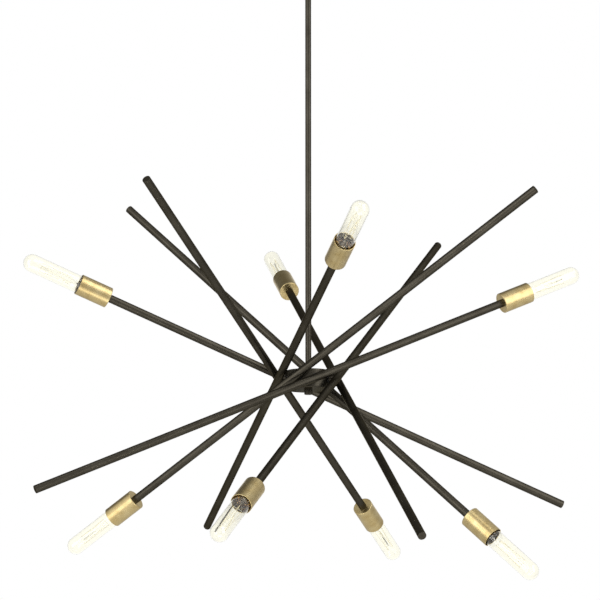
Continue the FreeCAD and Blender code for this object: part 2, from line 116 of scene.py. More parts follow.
places = {arm: arm_place(arm) for arm in ARMS}
base_low, base_high, base_radius = reach("bulb_base_1", places[1])
socket_low, socket_high, socket_radius = reach("lamp_socket_1", places[1])
glass_low, glass_tip = reach("bulb_glass_1", places[1])[:2]
cup_low, cup_mouth = reach("lamp_cup_1", places[1])[:2]
print("base %.1f to %.1f mm, glass tip %.1f mm, socket to %.1f mm, cup mouth %.1f mm"
      % (base_low, base_high, glass_tip, socket_high, cup_mouth))

# %% [markdown]
# ## Small helpers
# A colour is written the way a paint chart gives it, as sRGB hex, and shaders want linear
# light, so one function turns it over. Another adds a node with its settings and links,
# and it serves the shader trees and the Geometry Nodes trees alike. Given a node to link
# from, it takes that node's first output.

# %% Helpers for colours and nodes
def linear(hex_colour):
    """Linear RGBA of an sRGB hex colour."""
    channels = [int(hex_colour[start:start + 2], 16) / 255 for start in (1, 3, 5)]
    return [c / 12.92 if c <= 0.04045 else ((c + 0.055) / 1.055) ** 2.4 for c in channels] + [1.0]


def add(tree, kind, inputs=None, **settings):
    """Add a node: settings are its properties, inputs are values, or nodes or sockets to link."""
    node = tree.nodes.new(kind)
    for name, value in settings.items():
        setattr(node, name, value)
    for name, value in (inputs or {}).items():
        source = value.outputs[0] if isinstance(value, bpy.types.Node) else value
        if isinstance(source, bpy.types.NodeSocket):
            tree.links.new(source, node.inputs[name])
        else:
            node.inputs[name].default_value = source
    return node


def new_material(name, **sockets):
    """A material with one Principled shader; its constant values go on its own sockets."""
    material = bpy.data.materials.new(name)
    material.use_nodes = True
    shader = material.node_tree.nodes["Principled BSDF"]
    for socket, value in sockets.items():
        shader.inputs[socket.replace("_", " ")].default_value = value
    return material, material.node_tree, shader


WHITE = linear("#FFFFFF")
print("helpers ready; mid grey #808080 is %.3f in linear light" % linear("#808080")[0])

# %% [markdown]
# ## How a finish varies
# No real surface has one colour and one gloss all over. Here noise drives both between
# two values, and the noise has the size of the real marks: the long marks of a buff or a
# pad are noise that is drawn out one way. The pattern is laid in the frame of the part, so
# that the marks follow each arm wherever it points.

# %% Helpers for finishes
NOISE_LOW, NOISE_HIGH = 0.3, 0.7      # nearly all of a noise texture lies between these


def part_space(tree, place):
    """Object coordinates turned into the frame of the part that the pattern follows."""
    where = add(tree, "ShaderNodeTexCoord").outputs["Object"]
    return add(tree, "ShaderNodeMapping", {
        "Vector": where, "Location": place.to_translation(), "Rotation": place.to_euler()},
        vector_type="TEXTURE")


def marks(tree, space, across_mm, along_mm, detail, roughness):
    """Noise whose marks have one length across the part's Z and another along it."""
    stretched = add(tree, "ShaderNodeVectorMath", {
        0: space, 1: (1 / (across_mm * MM), 1 / (across_mm * MM), 1 / (along_mm * MM))},
        operation="MULTIPLY")
    return add(tree, "ShaderNodeTexNoise", {
        "Vector": stretched, "Scale": 1.0, "Detail": detail, "Roughness": roughness})


def vary(tree, shader, colour_noise, colours, gloss_noise, smoothest, roughest):
    """Let one noise drive the colour between two stops, and one the roughness."""
    colour = add(tree, "ShaderNodeValToRGB", {"Fac": colour_noise})
    for stop, (position, hex_colour) in zip(colour.color_ramp.elements, colours):
        stop.position, stop.color = position, linear(hex_colour)
    gloss = add(tree, "ShaderNodeMapRange", {
        "Value": gloss_noise, "From Min": NOISE_LOW, "From Max": NOISE_HIGH,
        "To Min": smoothest, "To Max": roughest})
    tree.links.new(colour.outputs["Color"], shader.inputs["Base Color"])
    tree.links.new(gloss.outputs["Result"], shader.inputs["Roughness"])


print("finishes vary between noise %.1f and %.1f" % (NOISE_LOW, NOISE_HIGH))

# %% [markdown]
# ## Antique bronze on steel tube
# The tubes, stem, drum and canopy are steel with a dark brown plated finish. The plating
# goes on in a tank and is relieved by hand, so the brown drifts a little from place to
# place over some centimetres, and fine lines from the buff run along the tube. The eye
# sees a satin metal with a soft narrow streak of light. Its brown is partly an oxide, so
# Metallic stays just under 1, and the specular tint holds back the bright rim that clean
# metal shows at a grazing angle.

# %% Antique bronze
BRONZE_CLOUD_MM = 45.0        # one drift from the darker to the lighter brown
BUFF_LINE_MM = 1.6            # real lines are near 0.2 mm; drawn coarser so that they show
BUFF_LENGTH_MM = 60.0
BUFF_RELIEF_MM = 0.05


def antique_bronze(name, place):
    """Brown plating that drifts in colour, with buffing lines along the part's Z."""
    material, tree, shader = new_material(name, Metallic=0.9, Specular_Tint=linear("#A09C8C"))
    space = part_space(tree, place)
    cloud = add(tree, "ShaderNodeTexNoise", {
        "Vector": space, "Scale": 1 / (BRONZE_CLOUD_MM * MM), "Detail": 3.0, "Roughness": 0.55})
    lines = marks(tree, space, BUFF_LINE_MM, BUFF_LENGTH_MM, detail=2.0, roughness=0.5)
    vary(tree, shader, cloud, ((0.3, "#403C34"), (0.72, "#504C43")), lines, 0.32, 0.4)
    relief = add(tree, "ShaderNodeBump", {
        "Height": lines, "Strength": 0.03, "Distance": BUFF_RELIEF_MM * MM})
    tree.links.new(relief.outputs["Normal"], shader.inputs["Normal"])
    return material


bronze = antique_bronze("antique_bronze_plated_steel", Matrix.Identity(4))
arm_bronze = {arm: antique_bronze("antique_bronze_tube_%d" % arm, places[arm]) for arm in ARMS}
print("antique bronze:", 1 + len(arm_bronze), "materials, one for each direction of the lines")

# %% [markdown]
# ## Brushed brass
# The cups are spun from sheet brass and satin finished on the lathe with an abrasive pad,
# under clear lacquer. The pad leaves rings round the cup, so light spreads along the cup
# and the reflections of the studio turn into long soft bands. The rings are noise that
# changes quickly along the cup and slowly round it. They drive the gloss and a very low
# relief, and the colour follows the slower tarnish alone.

# %% Brushed brass
BRUSH_RING_MM = 1.2           # real rings are near 0.1 mm; drawn coarser so that they show
BRUSH_ARC_MM = 18.0
BRUSH_RELIEF_MM = 0.03
TARNISH_MM = 14.0


def brushed_brass(name, place):
    """Satin brass with fine rings round the part's Z, which spread light along it."""
    material, tree, shader = new_material(name, Metallic=1.0, Anisotropic=0.45)
    space = part_space(tree, place)
    rings = marks(tree, space, BRUSH_ARC_MM, BRUSH_RING_MM, detail=3.0, roughness=0.6)
    tarnish = add(tree, "ShaderNodeTexNoise", {
        "Vector": space, "Scale": 1 / (TARNISH_MM * MM), "Detail": 2.0, "Roughness": 0.5})
    vary(tree, shader, tarnish, ((0.3, "#C4AD78"), (0.7, "#D6C392")), rings, 0.26, 0.32)
    relief = add(tree, "ShaderNodeBump", {
        "Height": rings, "Strength": 0.015, "Distance": BRUSH_RELIEF_MM * MM})
    tree.links.new(relief.outputs["Normal"], shader.inputs["Normal"])
    normal = add(tree, "ShaderNodeNewGeometry").outputs["Normal"]
    round_the_cup = add(tree, "ShaderNodeVectorMath", {
        0: place.to_3x3().col[2], 1: normal}, operation="CROSS_PRODUCT")
    tree.links.new(round_the_cup.outputs["Vector"], shader.inputs["Tangent"])
    return material


cup_brass = {arm: brushed_brass("brushed_brass_cup_%d" % arm, places[arm]) for arm in ARMS}
print("brushed brass:", len(cup_brass), "materials, one for each cup's direction")

# %% [markdown]
# ## The plainer finishes
# The screw shells are drawn brass sheet. The sockets are compression-moulded phenolic,
# glossy where the die was polished, in a pale tan that is partly painted light for the
# cup's shaded mouth. The bushes are moulded black nylon, the strap is zinc-plated steel
# with its faint crystal pattern, the bulb's tip is tin solder and the insulator round it
# is black glass. The cement that holds the bulb's neck is pale and matt. The wires are
# nickel, and the filament is drawn paler than bare tungsten as a painted glow of the
# bright bulb. One function makes them all: a fine grain moves colour and gloss together.

# %% Plain finishes
MOULDED_GRAIN, FINE_GRAIN, CRYSTAL_GRAIN, DRAWN_GRAIN = 1.2, 0.9, 3.5, 1.5      # millimetres


def grained(name, grain_mm, dark, light, smoothest, roughest, **sockets):
    """A finish whose colour and gloss drift together on a grain of a real size."""
    material, tree, shader = new_material(name, **sockets)
    space = add(tree, "ShaderNodeTexCoord").outputs["Object"]
    grain = add(tree, "ShaderNodeTexNoise", {
        "Vector": space, "Scale": 1 / (grain_mm * MM), "Detail": 2.0, "Roughness": 0.5})
    vary(tree, shader, grain, ((0.35, dark), (0.65, light)), grain, smoothest, roughest)
    return material


# painted light: the phenolic's pale tan stands in for light inside the cup's shaded mouth
phenolic_painted_light = grained("moulded_phenolic_painted_light", MOULDED_GRAIN, "#CF9F78", "#E2B994", 0.3, 0.45, IOR=1.6)
nylon = grained("moulded_nylon", FINE_GRAIN, "#1B1B1B", "#262626", 0.45, 0.6, IOR=1.53)
zinc = grained("zinc_plated_steel", CRYSTAL_GRAIN, "#A9ABAA", "#C6C8C6", 0.28, 0.45, Metallic=1.0)
drawn_brass = grained("drawn_brass_sheet", DRAWN_GRAIN, "#C9A25E", "#DDBB78", 0.16, 0.26,
                      Metallic=1.0)
solder = grained("tin_solder", DRAWN_GRAIN, "#9C9D9E", "#C2C3C4", 0.25, 0.4, Metallic=1.0)
black_glass = grained("black_insulator_glass", MOULDED_GRAIN, "#08080A", "#101014", 0.05, 0.12,
                      IOR=1.52)
nickel = grained("nickel_wire", DRAWN_GRAIN, "#D2CEC2", "#E9E5DA", 0.3, 0.4, Metallic=1.0)
basing_cement = grained("basing_cement", FINE_GRAIN, "#D9AE86", "#EBCBA8", 0.7, 0.85)
# painted glow: the filament's pale cream stands in for the light of the bright bulb, not tungsten's
# own grey
filament_painted_glow = grained("tungsten_filament_painted_glow", FINE_GRAIN, "#D9CC9E", "#EFE6C0", 0.5, 0.6, Metallic=0.3)
print("plain finishes:", phenolic_painted_light.name, nylon.name, zinc.name, drawn_brass.name, nickel.name)

# %% [markdown]
# ## Bulb glass
# The bulbs are blown from clear soda-lime glass, and the mount inside is drawn from lead
# glass. Both are smooth, so the eye sees only their edges and reflections, and a trace of
# straw where it looks through several walls. A slow change of roughness, near zero, stands
# for the slight waves of blown glass.

# %% Bulb glass
GLASS_WAVE_MM = 40
GLASS_HAZE = 0.02


def bulb_glass(name, tint):
    """Clear glass: smooth, so only its edges and reflections show."""
    material, tree, shader = new_material(
        name, Transmission_Weight=1.0, IOR=1.5, Base_Color=linear(tint))
    space = add(tree, "ShaderNodeTexCoord").outputs["Object"]
    waves = add(tree, "ShaderNodeTexNoise", {
        "Vector": space, "Scale": 1 / (GLASS_WAVE_MM * MM), "Detail": 1.0})
    haze = add(tree, "ShaderNodeMapRange", {"Value": waves, "To Min": 0.0, "To Max": GLASS_HAZE})
    tree.links.new(haze.outputs["Result"], shader.inputs["Roughness"])
    return material


clear_glass = bulb_glass("clear_soda_lime_glass", "#FFFEF6")
mount_glass = bulb_glass("lead_glass_mount", "#FFFFFC")
print("glass:", clear_glass.name, mount_glass.name)

# %% [markdown]
# ## Dress the measured solids
# Most solids are already the right shape, so they stay and only take a finish. They are
# shaded smooth, with a crease wherever two faces meet at more than a given angle. The two
# kinds that hold several materials, the socket and the bulb's base, are made again below.
# Clear glass hardly casts a shadow, so the bulbs' glass casts none.

# %% Dress the solids
SHARP_DEGREES = 32


def paint(mesh, material):
    """Give a mesh one finish and smooth shading."""
    mesh.materials.clear()
    mesh.materials.append(material)
    mesh.shade_smooth()


def dress(node, material):
    """Give a measured solid its finish, and keep its edges crisp."""
    mesh = frame["nodes"][node].data
    paint(mesh, material)
    mesh.set_sharp_from_angle(angle=math.radians(SHARP_DEGREES))


for node in ("canopy", "canopy_screws", "swivel_ball", "stem_upper", "stem_lower",
             "hub_body", "hub_cover", "finial_knob"):
    dress(node, bronze)
for node in ("mounting_bar", "stem_nipples"):
    dress(node, zinc)
for node in ("swivel_seat", "hub_bushings"):
    dress(node, nylon)
for arm in ARMS:
    dress("arm_tube_%d" % arm, arm_bronze[arm])
    dress("arm_pivot_%d" % arm, arm_bronze[arm])
    dress("lamp_cup_%d" % arm, cup_brass[arm])
    dress("bulb_glass_%d" % arm, clear_glass)
    frame["nodes"]["bulb_glass_%d" % arm].visible_shadow = False
print("dressed the solids of", len(ARMS), "arms")

# %% [markdown]
# ## Turned parts
# A lathe part is a profile and an axis. The helper below turns a list of (radius, height)
# corners about Z and closes the poles, which is all that the socket's body, the contact,
# the insulator, the solder tip, the cement and the glass mount need. The socket's sharp
# corners are eased with a small bevel, because no real edge is a perfect line.

# %% Turned parts
TURNED_STEPS = 48


def carry(mesh, name, place, body, material):
    """Make an object of a mesh drawn in millimetres of the arm's frame, and hang it on a body."""
    mesh.transform(place @ Matrix.Scale(MM, 4))
    paint(mesh, material)
    piece = bpy.data.objects.new(name, mesh)
    bpy.context.scene.collection.objects.link(piece)
    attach(piece, body)
    return piece


def lathe(name, corners, closed=True):
    """Mesh of revolution about Z through (radius, height) corners, as one closed skin."""
    shape = bmesh.new()
    angles = [FULL_TURN * step / TURNED_STEPS for step in range(TURNED_STEPS)]
    rings = []
    for radius, height in corners:
        ring = angles if radius else angles[:1]      # a pole is one point
        rings.append([shape.verts.new((radius * math.cos(a), radius * math.sin(a), height))
                      for a in ring])
    pairs = list(zip(rings, rings[1:]))
    if closed:
        pairs.append((rings[-1], rings[0]))
    for low, high in pairs:
        for step in range(TURNED_STEPS):
            ahead = (step + 1) % TURNED_STEPS
            around = [low[step % len(low)], low[ahead % len(low)],
                      high[ahead % len(high)], high[step % len(high)]]
            face = list(dict.fromkeys(around))
            if len(face) > 2:
                shape.faces.new(face)
    bmesh.ops.recalc_face_normals(shape, faces=shape.faces)
    mesh = bpy.data.meshes.new(name)
    shape.to_mesh(mesh)
    shape.free()
    return mesh


print("lathe: %d steps round" % TURNED_STEPS)

# %% [markdown]
# ## The rolled screw thread
# A medium screw base has seven turns to the inch, rolled into thin sheet, so the thread
# is a soft wave and not a sharp ridge. A wave that climbs as it goes round is a rule, so
# Geometry Nodes draw it: a flat grid is wrapped into a tube, and its radius rises and
# falls with height and angle together. The same tree makes the bulb's shell and the
# slightly wider shell that it screws into.

# %% Thread tree
MATH = "ShaderNodeMath"
THREAD_PITCH = 25.4 / 7
THREAD_FADE = 1.8             # the wave dies out over this length at both ends
THREAD_COLUMNS, THREAD_ROWS = 49, 73
SEAM_MM = 0.001               # the grid's first and last columns meet, and are merged


def group_input(tree, *sizes):
    """Declare named sizes and a material on a Geometry Nodes tree, and return their sockets."""
    for name in sizes:
        tree.interface.new_socket(name, in_out="INPUT", socket_type="NodeSocketFloat")
    tree.interface.new_socket("Material", in_out="INPUT", socket_type="NodeSocketMaterial")
    tree.interface.new_socket("Geometry", in_out="OUTPUT", socket_type="NodeSocketGeometry")
    return add(tree, "NodeGroupInput").outputs


def close_tree(tree, geometry, material):
    """End a tree the way every tree here ends: real geometry with its material set."""
    real = add(tree, "GeometryNodeRealizeInstances", {"Geometry": geometry})
    painted = add(tree, "GeometryNodeSetMaterial", {"Geometry": real, "Material": material})
    add(tree, "NodeGroupOutput", {"Geometry": painted})


thread = bpy.data.node_groups.new("rolled_thread", "GeometryNodeTree")
sizes = group_input(thread, "Root", "Depth", "Low", "High")
length = add(thread, MATH, {0: sizes["High"], 1: sizes["Low"]}, operation="SUBTRACT")
sheet = add(thread, "GeometryNodeMeshGrid", {
    "Size X": FULL_TURN, "Size Y": length, "Vertices X": THREAD_COLUMNS, "Vertices Y": THREAD_ROWS})
flat = add(thread, "ShaderNodeSeparateXYZ", {0: add(thread, "GeometryNodeInputPosition")}).outputs
angle = flat["X"]
half_length = add(thread, MATH, {0: length, 1: 0.5}, operation="MULTIPLY")
above_low = add(thread, MATH, {0: flat["Y"], 1: half_length}, operation="ADD")
below_high = add(thread, MATH, {0: length, 1: above_low}, operation="SUBTRACT")
climb = add(thread, MATH, {0: above_low, 1: FULL_TURN / THREAD_PITCH}, operation="MULTIPLY")
phase = add(thread, MATH, {0: climb, 1: angle}, operation="SUBTRACT")
wave = add(thread, MATH, {0: phase}, operation="COSINE")
share = add(thread, MATH, {0: wave, 1: 0.5, 2: 0.5}, operation="MULTIPLY_ADD")
nearest_end = add(thread, MATH, {0: above_low, 1: below_high}, operation="MINIMUM")
fade = add(thread, "ShaderNodeMapRange", {
    "Value": nearest_end, "From Max": THREAD_FADE}, interpolation_type="SMOOTHSTEP")
lift = add(thread, MATH, {0: share, 1: fade}, operation="MULTIPLY")
radius = add(thread, MATH, {0: lift, 1: sizes["Depth"], 2: sizes["Root"]}, operation="MULTIPLY_ADD")
cosine = add(thread, MATH, {0: angle}, operation="COSINE")
sine = add(thread, MATH, {0: angle}, operation="SINE")
wrapped = add(thread, "ShaderNodeCombineXYZ", {
    "X": add(thread, MATH, {0: cosine, 1: radius}, operation="MULTIPLY"),
    "Y": add(thread, MATH, {0: sine, 1: radius}, operation="MULTIPLY"),
    "Z": add(thread, MATH, {0: above_low, 1: sizes["Low"]}, operation="ADD")})
tube = add(thread, "GeometryNodeSetPosition", {"Geometry": sheet, "Position": wrapped})
seamless = add(thread, "GeometryNodeMergeByDistance", {"Geometry": tube, "Distance": SEAM_MM})
close_tree(thread, seamless, sizes["Material"])
print("rolled_thread:", len(thread.nodes), "nodes, pitch %.2f mm" % THREAD_PITCH)

# %% [markdown]
# ## Growing a tree into a mesh
# A tree runs as a modifier on an empty object. The helper sets its inputs by the sockets'
# identifiers, runs it once and keeps the plain mesh, so that nothing live is left on the
# finished piece. Sheet metal has a thickness, so a Solidify modifier can follow the tree
# and add a wall outwards, or inwards where the number is negative.

# %% Grow a tree into a mesh
def grow(tree, name, material, wall=0.0, **values):
    """Run a tree with these input values and return its result as a plain mesh."""
    seed = bpy.data.objects.new(name + "_seed", bpy.data.meshes.new(name + "_seed"))
    bpy.context.scene.collection.objects.link(seed)
    modifier = seed.modifiers.new("tree", "NODES")
    modifier.node_group = tree
    for item in tree.interface.items_tree:
        if item.in_out == "INPUT":
            modifier[item.identifier] = material if item.name == "Material" else values[item.name]
    if wall:
        sheet_wall = seed.modifiers.new("wall", "SOLIDIFY")
        sheet_wall.thickness, sheet_wall.offset = abs(wall), math.copysign(1, wall)
    evaluated = seed.evaluated_get(bpy.context.evaluated_depsgraph_get())
    mesh = bpy.data.meshes.new_from_object(evaluated)
    bpy.data.objects.remove(seed)
    return mesh


print("grow: a modifier is run once, and only its mesh is kept")

# %% [markdown]
# ## Sockets
# Behind each cup's mouth sits a keyless socket: a phenolic body, in a pale tan that is
# partly painted light, the threaded brass shell that feeds the bulb's thread, and a
# sprung centre contact. Only the front ring of it shows past the glass, but light enters
# there and comes back warm from the brass. The body's narrow stub goes through the cup's
# floor into the tube, and the wires pass through the hole in the middle.

# %% Sockets
SOCKET_BODY_WALL = 0.75
SOCKET_SHELL_SHEET = 0.3
SOCKET_SHELL_AIR = 0.25       # bulb's crest to the shell, on the radius
SOCKET_THREAD_DEPTH = 0.65
SOCKET_FACE_INSET = 1.5       # the shell ends this far behind the body's face
CUP_FLOOR_SHEET = 1.4
CONTACT_R, CONTACT_HOLE_R, CONTACT_RISE = 3.3, 1.0, 1.5
STUB_R = 5.0
WIREWAY_R = 3.2
EASE = 0.35

cup_floor = cup_low + CUP_FLOOR_SHEET
socket_floor = base_low - CONTACT_RISE
socket_bore = socket_radius - SOCKET_BODY_WALL
shell_root = base_radius + SOCKET_SHELL_AIR
for arm in ARMS:
    body = lathe("socket_body", [
        (WIREWAY_R, socket_low), (STUB_R - EASE, socket_low), (STUB_R, socket_low + EASE),
        (STUB_R, cup_floor), (socket_radius - EASE, cup_floor), (socket_radius, cup_floor + EASE),
        (socket_radius, socket_high - EASE), (socket_radius - EASE, socket_high),
        (socket_bore + EASE, socket_high), (socket_bore, socket_high - EASE),
        (socket_bore, socket_floor), (WIREWAY_R, socket_floor)])
    carry(body, "socket_body_%d" % arm, places[arm], "arm_%d" % arm, phenolic_painted_light)
    shell = grow(thread, "socket_shell", drawn_brass, wall=SOCKET_SHELL_SHEET, Root=shell_root,
                 Depth=SOCKET_THREAD_DEPTH, Low=socket_floor, High=socket_high - SOCKET_FACE_INSET)
    piece = carry(shell, "socket_shell_%d" % arm, places[arm], "arm_%d" % arm,
                  drawn_brass)
    contact = lathe("socket_contact", [
        (CONTACT_HOLE_R, socket_floor - EASE), (WIREWAY_R, socket_floor - EASE),
        (WIREWAY_R, socket_floor), (CONTACT_R, socket_floor), (CONTACT_R, base_low - EASE),
        (CONTACT_R - EASE, base_low), (CONTACT_HOLE_R, base_low)])
    carry(contact, "socket_contact_%d" % arm, places[arm], "arm_%d" % arm, drawn_brass)
    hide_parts("lamp_socket_%d" % arm)
print("sockets:", len(ARMS), "of three parts; shell root radius %.2f mm" % shell_root)

# %% [markdown]
# ## Screw bases
# The bulb's base is a rolled brass shell, closed below by a cone of black glass with a
# drop of solder at the tip. The neck of the bulb stands on a plug of cement inside the
# shell, and the exhaust tube leaves a hole through it.

# %% Screw bases
BASE_SHEET = 0.35
BASE_DEPTH = 0.75
SNUG = 0.02                   # air at the crests, and round the pieces inside the shell
BUTT = 0.05                   # air where two pieces butt
TIP_HEIGHT, TIP_R = 1.4, 4.7
TIP_DOME = ((0.0, 0.0), (0.6, 0.12), (0.9, 0.5))      # shares of the tip's radius, and heights
CONE_HEIGHT = 4.2
CONE_BULGE, CONE_BULGE_SHARE = 3.2, 0.45              # beyond the tip's radius, and how far up
CONE_RIM, CONE_RIM_DROP = 0.9, 0.7
INSULATOR_LAP = 0.6           # how far the black glass goes up into the shell
CEMENT_BORE_R, CEMENT_DEPTH = 1.5, 2.0

tip_top = base_low + TIP_HEIGHT
cone_top = tip_top + CONE_HEIGHT
base_root = base_radius - BASE_DEPTH
shell_bore = base_root - BASE_SHEET - SNUG
for arm in ARMS:
    shell = grow(thread, "base_shell", drawn_brass, wall=-BASE_SHEET, Root=base_root,
                 Depth=BASE_DEPTH - SNUG, Low=cone_top, High=base_high)
    piece = carry(shell, "base_shell_%d" % arm, places[arm], "bulb_%d" % arm,
                  drawn_brass)
    insulator = lathe("base_insulator", [
        (0, tip_top), (TIP_R, tip_top),
        (TIP_R + CONE_BULGE, tip_top + CONE_HEIGHT * CONE_BULGE_SHARE),
        (base_root - CONE_RIM, cone_top - CONE_RIM_DROP), (base_root - BUTT, cone_top - BUTT),
        (shell_bore, cone_top + INSULATOR_LAP), (0, cone_top + INSULATOR_LAP)], closed=False)
    carry(insulator, "base_insulator_%d" % arm, places[arm], "bulb_%d" % arm, black_glass)
    dome = [(TIP_R * share_of_radius, base_low + rise) for share_of_radius, rise in TIP_DOME]
    tip = lathe("base_tip", dome + [(TIP_R, tip_top), (0, tip_top)], closed=False)
    carry(tip, "base_tip_%d" % arm, places[arm], "bulb_%d" % arm, solder)
    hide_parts("bulb_base_%d" % arm)
    cement = lathe("base_cement", [
        (CEMENT_BORE_R, glass_low - CEMENT_DEPTH), (shell_bore, glass_low - CEMENT_DEPTH),
        (shell_bore, glass_low - BUTT), (CEMENT_BORE_R, glass_low - BUTT)])
    carry(cement, "base_cement_%d" % arm, places[arm], "bulb_%d" % arm, basing_cement)
print("screw bases:", len(ARMS), "of four parts")

# %% [markdown]
# ## Glass mount
# Inside each bulb a flared glass stem rises from the neck to the press, where the leads
# pass through, and a thin glass rod goes on along the middle and ends in a bead. A lamp
# maker heats and pinches tube for it. Here it is turned, because the press is too small
# to show its flat sides.

# %% Glass mount
FLARE_R, FLARE_WAIST, FLARE_RISE = 8.5, 0.72, 9.0     # the waist is a share of the radius
PRESS_R, PRESS_FOOT, PRESS_LENGTH = 3.6, 1.4, 6.0     # the foot is wider than the press
PRESS_RISE = 20.0             # press above the end of the base
ROD_R = 0.9
ROD_STOP = 26.0               # rod's end below the tip of the glass
NECK_INSET = 1.0              # flare above the lower edge of the glass

flare_foot = glass_low + NECK_INSET
press_top = base_high + PRESS_RISE
rod_top = glass_tip - ROD_STOP
mount_profile = [
    (0, flare_foot + 0.1), (FLARE_R, flare_foot),
    (FLARE_R * FLARE_WAIST, flare_foot + FLARE_RISE / 3),
    (PRESS_R + PRESS_FOOT, flare_foot + FLARE_RISE),
    (PRESS_R, press_top - PRESS_LENGTH), (PRESS_R * 0.8, press_top - 1.5),
    (ROD_R * 1.4, press_top), (ROD_R, press_top + 2), (ROD_R, rod_top - 1.2),
    (ROD_R * 1.5, rod_top - 0.6), (ROD_R * 1.3, rod_top), (0, rod_top + 0.4)]
for arm in ARMS:
    mount = lathe("glass_mount", mount_profile, closed=False)
    piece = carry(mount, "glass_mount_%d" % arm, places[arm], "bulb_%d" % arm,
                  mount_glass)
    piece.visible_shadow = False
print("glass mounts: press at %.0f mm, rod to %.0f mm" % (press_top, rod_top))

# %% [markdown]
# ## Wires
# Little hooks of nickel wire stand out of the glass rod at two heights and hold the
# filament, and two leads bring the current from the base to its two ends. A wire is a
# curve with a round section. Each bulb's hooks become one mesh and its leads another.

# %% Wire helper
WIRE_SIDES = 6


def wire(routes, thickness):
    """Mesh of round wires along lists of points, all as one mesh."""
    curve = bpy.data.curves.new("wire", "CURVE")
    curve.dimensions = "3D"
    curve.bevel_depth = thickness / 2
    curve.bevel_resolution = WIRE_SIDES // 2 - 2
    curve.use_fill_caps = True
    for route in routes:
        line = curve.splines.new("POLY")
        line.points.add(len(route) - 1)
        for point, spot in zip(line.points, route):
            point.co = (*spot, 1.0)
    holder = bpy.data.objects.new("wire", curve)
    bpy.context.scene.collection.objects.link(holder)
    mesh = bpy.data.meshes.new_from_object(holder.evaluated_get(bpy.context.evaluated_depsgraph_get()))
    bpy.data.objects.remove(holder)
    return mesh


def polar(radius, turn, height):
    """Point at a share of a full turn round the arm's axis."""
    angle = FULL_TURN * turn
    return Vector((radius * math.cos(angle), radius * math.sin(angle), height))


print("wire: %d sides" % WIRE_SIDES)

# %% Support wires
CAGE_R, CAGE_RUNS = 6.8, 8
CAGE_OVER_PRESS, CAGE_UNDER_ROD_END = 12.0, 4.0
HOOK_WIRE, LEAD_WIRE = 0.35, 0.45
HOOK_R, HOOK_BEND, HOOK_STEPS = 0.7, 1.7 * math.pi, 10
LEAD_R, LEAD_SPREAD = 2.0, 0.6      # where a lead leaves the press, and its first bend outwards

cage_low, cage_high = press_top + CAGE_OVER_PRESS, rod_top - CAGE_UNDER_ROD_END


def hook(turn, height, up):
    """A radial wire from the rod that ends in a small open loop round the filament."""
    inner, outer = polar(ROD_R * 0.5, turn, height), polar(CAGE_R - HOOK_R, turn, height)
    radial = (outer - inner).normalized()
    loop = []
    for step in range(1, HOOK_STEPS + 1):
        bend = HOOK_BEND * step / HOOK_STEPS
        rise = Vector((0, 0, up * HOOK_R * (1 - math.cos(bend))))
        loop.append(outer + radial * HOOK_R * math.sin(bend) + rise)
    return [inner, outer] + loop


support_routes = []
for run in range(CAGE_RUNS):
    height, up = ((cage_high, 1), (cage_low, -1))[run % 2]
    support_routes.append(hook(run / CAGE_RUNS, height, up))
lead_routes = []
for turn in (0, (CAGE_RUNS - 1) / CAGE_RUNS):
    lead_routes.append([
        polar(LEAD_R, turn, base_high - 3), polar(LEAD_R, turn, press_top + 0.5),
        polar(LEAD_R + LEAD_SPREAD, turn, press_top + 4), polar(CAGE_R, turn, cage_low - 3),
        polar(CAGE_R, turn, cage_low)])
for arm in ARMS:
    wires = wire(support_routes, HOOK_WIRE)
    carry(wires, "support_wires_%d" % arm, places[arm], "bulb_%d" % arm, nickel)
    leads = wire(lead_routes, LEAD_WIRE)
    carry(leads, "lead_wires_%d" % arm, places[arm], "bulb_%d" % arm, nickel)
print("support wires: %d hooks and %d leads in each bulb" % (len(support_routes), len(lead_routes)))

# %% [markdown]
# ## The filament
# One long coiled wire runs up and down between the hooks like the bars of a cage.
# Geometry Nodes follow the rule: points on a line are sent round a circle while every
# second one goes to the other height, the path between them is cut into short steps, and
# each step is pushed out round a small circle, which winds the coil. The real coil is
# near 0.4 mm and too thin to see at this distance, so it is drawn about twice as thick.

# %% Filament tree
FILAMENT_WIRE, FILAMENT_SIDES = 0.22, 4
COIL_R, COIL_PITCH, COIL_STEP = 0.32, 0.9, 0.15

cage = bpy.data.node_groups.new("cage_filament", "GeometryNodeTree")
sizes = group_input(cage, "Radius", "Low", "High", "Runs", "Coil", "Pitch", "Wire")
corners = add(cage, "GeometryNodeMeshLine", {"Count": CAGE_RUNS})
number = add(cage, "GeometryNodeInputIndex")
place_round = add(cage, MATH, {0: number, 1: sizes["Runs"]}, operation="DIVIDE")
swing = add(cage, MATH, {0: place_round, 1: FULL_TURN}, operation="MULTIPLY")
cosine = add(cage, MATH, {0: swing}, operation="COSINE")
sine = add(cage, MATH, {0: swing}, operation="SINE")
odd = add(cage, MATH, {0: number, 1: 2.0}, operation="MODULO")
drop = add(cage, MATH, {0: sizes["Low"], 1: sizes["High"]}, operation="SUBTRACT")
corner = add(cage, "ShaderNodeCombineXYZ", {
    "X": add(cage, MATH, {0: cosine, 1: sizes["Radius"]}, operation="MULTIPLY"),
    "Y": add(cage, MATH, {0: sine, 1: sizes["Radius"]}, operation="MULTIPLY"),
    "Z": add(cage, MATH, {0: odd, 1: drop, 2: sizes["High"]}, operation="MULTIPLY_ADD")})
zigzag = add(cage, "GeometryNodeSetPosition", {"Geometry": corners, "Position": corner})
path = add(cage, "GeometryNodeMeshToCurve", {"Mesh": zigzag})
fine = add(cage, "GeometryNodeResampleCurve", {"Curve": path, "Length": COIL_STEP}, mode="LENGTH")
along = add(cage, "GeometryNodeSplineParameter").outputs["Length"]
wound = add(cage, MATH, {0: along, 1: FULL_TURN}, operation="MULTIPLY")
spin = add(cage, MATH, {0: wound, 1: sizes["Pitch"]}, operation="DIVIDE")
cosine = add(cage, MATH, {0: spin}, operation="COSINE")
sine = add(cage, MATH, {0: spin}, operation="SINE")
